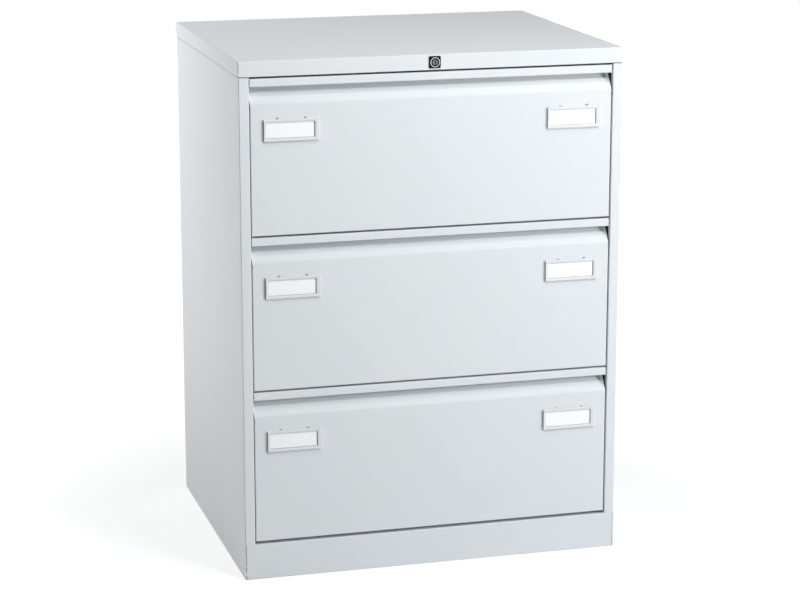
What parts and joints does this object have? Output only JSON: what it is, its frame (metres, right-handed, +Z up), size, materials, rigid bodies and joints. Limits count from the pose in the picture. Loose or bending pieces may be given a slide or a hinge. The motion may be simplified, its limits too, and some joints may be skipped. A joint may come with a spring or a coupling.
{
  "type": "lateral filing cabinet",
  "caption": "Wide folded-steel side filing cabinet with stacked full-extension drawers, full-width finger pulls, label holders and a key lock that holds every drawer.",
  "frame": {"origin": "on the floor, under the middle of the bounding box", "axes": "+Z up, -Y out of the drawer fronts, +X to the right of someone facing the drawers"},
  "size_m": [0.762, 0.6262, 1.016],
  "materials": {
    "grey_paint": "light grey powder coat on sheet steel, satin",
    "zinc_plate": "bright zinc plate on rolled steel",
    "holder_plastic": "light grey moulded plastic, satin",
    "card_stock": "white card, matt",
    "lock_chrome": "polished chrome plate",
    "lock_steel": "blackened steel",
    "black_plastic": "black moulded plastic, satin"
  },
  "bodies": {
    "cabinet": {"top_panel": "grey_paint", "left_side_panel": "grey_paint", "right_side_panel": "grey_paint", "back_panel": "grey_paint", "base_panel": "grey_paint", "plinth_front": "grey_paint", "lock_escutcheon": "black_plastic", "lock_barrel": "lock_chrome", "lock_link_guide": "black_plastic", "lock_bar_guide": "black_plastic", "top_left_runner_outer": "zinc_plate", "top_right_runner_outer": "zinc_plate", "middle_left_runner_outer": "zinc_plate", "middle_right_runner_outer": "zinc_plate", "bottom_left_runner_outer": "zinc_plate", "bottom_right_runner_outer": "zinc_plate"},
    "top_drawer": {"top_drawer_front": "grey_paint", "top_drawer_tray": "grey_paint", "top_front_hanging_rail": "zinc_plate", "top_rear_hanging_rail": "zinc_plate", "top_left_runner_inner": "zinc_plate", "top_right_runner_inner": "zinc_plate", "top_left_label_holder": "holder_plastic", "top_left_label_card": "card_stock", "top_right_label_holder": "holder_plastic", "top_right_label_card": "card_stock"},
    "middle_drawer": {"middle_drawer_front": "grey_paint", "middle_drawer_tray": "grey_paint", "middle_front_hanging_rail": "zinc_plate", "middle_rear_hanging_rail": "zinc_plate", "middle_left_runner_inner": "zinc_plate", "middle_right_runner_inner": "zinc_plate", "middle_left_label_holder": "holder_plastic", "middle_left_label_card": "card_stock", "middle_right_label_holder": "holder_plastic", "middle_right_label_card": "card_stock"},
    "bottom_drawer": {"bottom_drawer_front": "grey_paint", "bottom_drawer_tray": "grey_paint", "bottom_front_hanging_rail": "zinc_plate", "bottom_rear_hanging_rail": "zinc_plate", "bottom_left_runner_inner": "zinc_plate", "bottom_right_runner_inner": "zinc_plate", "bottom_left_label_holder": "holder_plastic", "bottom_left_label_card": "card_stock", "bottom_right_label_holder": "holder_plastic", "bottom_right_label_card": "card_stock"},
    "top_left_slide": {"top_left_runner_middle": "zinc_plate"},
    "top_right_slide": {"top_right_runner_middle": "zinc_plate"},
    "middle_left_slide": {"middle_left_runner_middle": "zinc_plate"},
    "middle_right_slide": {"middle_right_runner_middle": "zinc_plate"},
    "bottom_left_slide": {"bottom_left_runner_middle": "zinc_plate"},
    "bottom_right_slide": {"bottom_right_runner_middle": "zinc_plate"},
    "lock_cylinder": {"lock_plug": "lock_steel", "lock_cam": "zinc_plate"},
    "locking_link": {"lock_link": "zinc_plate"},
    "locking_bar": {"lock_bar": "zinc_plate"},
    "front_left_leveller": {"front_left_foot": "black_plastic"},
    "front_right_leveller": {"front_right_foot": "black_plastic"},
    "rear_left_leveller": {"rear_left_foot": "black_plastic"},
    "rear_right_leveller": {"rear_right_foot": "black_plastic"}
  },
  "joints": [
    {"name": "top_drawer_slide", "type": "slide", "parent": "cabinet", "child": "top_drawer", "axis": [0, -1, 0], "range_m": [0, 0.54]},
    {"name": "middle_drawer_slide", "type": "slide", "parent": "cabinet", "child": "middle_drawer", "axis": [0, -1, 0], "range_m": [0, 0.54]},
    {"name": "bottom_drawer_slide", "type": "slide", "parent": "cabinet", "child": "bottom_drawer", "axis": [0, -1, 0], "range_m": [0, 0.54]},
    {"name": "top_left_slide_travel", "type": "slide", "parent": "cabinet", "child": "top_left_slide", "axis": [0, -1, 0], "range_m": [0, 0.27]},
    {"name": "top_right_slide_travel", "type": "slide", "parent": "cabinet", "child": "top_right_slide", "axis": [0, -1, 0], "range_m": [0, 0.27]},
    {"name": "middle_left_slide_travel", "type": "slide", "parent": "cabinet", "child": "middle_left_slide", "axis": [0, -1, 0], "range_m": [0, 0.27]},
    {"name": "middle_right_slide_travel", "type": "slide", "parent": "cabinet", "child": "middle_right_slide", "axis": [0, -1, 0], "range_m": [0, 0.27]},
    {"name": "bottom_left_slide_travel", "type": "slide", "parent": "cabinet", "child": "bottom_left_slide", "axis": [0, -1, 0], "range_m": [0, 0.27]},
    {"name": "bottom_right_slide_travel", "type": "slide", "parent": "cabinet", "child": "bottom_right_slide", "axis": [0, -1, 0], "range_m": [0, 0.27]},
    {"name": "lock_bar_travel", "type": "slide", "parent": "cabinet", "child": "locking_bar", "axis": [0, 0, -1], "range_m": [0, 0.00989]},
    {"name": "lock_link_travel", "type": "slide", "parent": "cabinet", "child": "locking_link", "axis": [1, 0, 0], "range_m": [0, 0.0099]},
    {"name": "lock_turn", "type": "hinge", "parent": "cabinet", "child": "lock_cylinder", "pos_m": [0, -0.3, 1.001], "axis": [0, 1, 0], "range_deg": [0, 90]},
    {"name": "front_left_levelling", "type": "slide", "parent": "cabinet", "child": "front_left_leveller", "axis": [0, 0, -1], "range_m": [0, 0.012]},
    {"name": "front_right_levelling", "type": "slide", "parent": "cabinet", "child": "front_right_leveller", "axis": [0, 0, -1], "range_m": [0, 0.012]},
    {"name": "rear_left_levelling", "type": "slide", "parent": "cabinet", "child": "rear_left_leveller", "axis": [0, 0, -1], "range_m": [0, 0.012]},
    {"name": "rear_right_levelling", "type": "slide", "parent": "cabinet", "child": "rear_right_leveller", "axis": [0, 0, -1], "range_m": [0, 0.012]}
  ],
  "couplings": [
    {"joint": "top_left_slide_travel", "follows": "top_drawer_slide", "ratio": 0.5},
    {"joint": "top_right_slide_travel", "follows": "top_drawer_slide", "ratio": 0.5},
    {"joint": "middle_left_slide_travel", "follows": "middle_drawer_slide", "ratio": 0.5},
    {"joint": "middle_right_slide_travel", "follows": "middle_drawer_slide", "ratio": 0.5},
    {"joint": "bottom_left_slide_travel", "follows": "bottom_drawer_slide", "ratio": 0.5},
    {"joint": "bottom_right_slide_travel", "follows": "bottom_drawer_slide", "ratio": 0.5},
    {"joint": "lock_link_travel", "follows": "lock_bar_travel", "ratio": 1},
    {"joint": "lock_turn", "follows": "lock_bar_travel", "rad_per_m": 158.67}
  ]
}
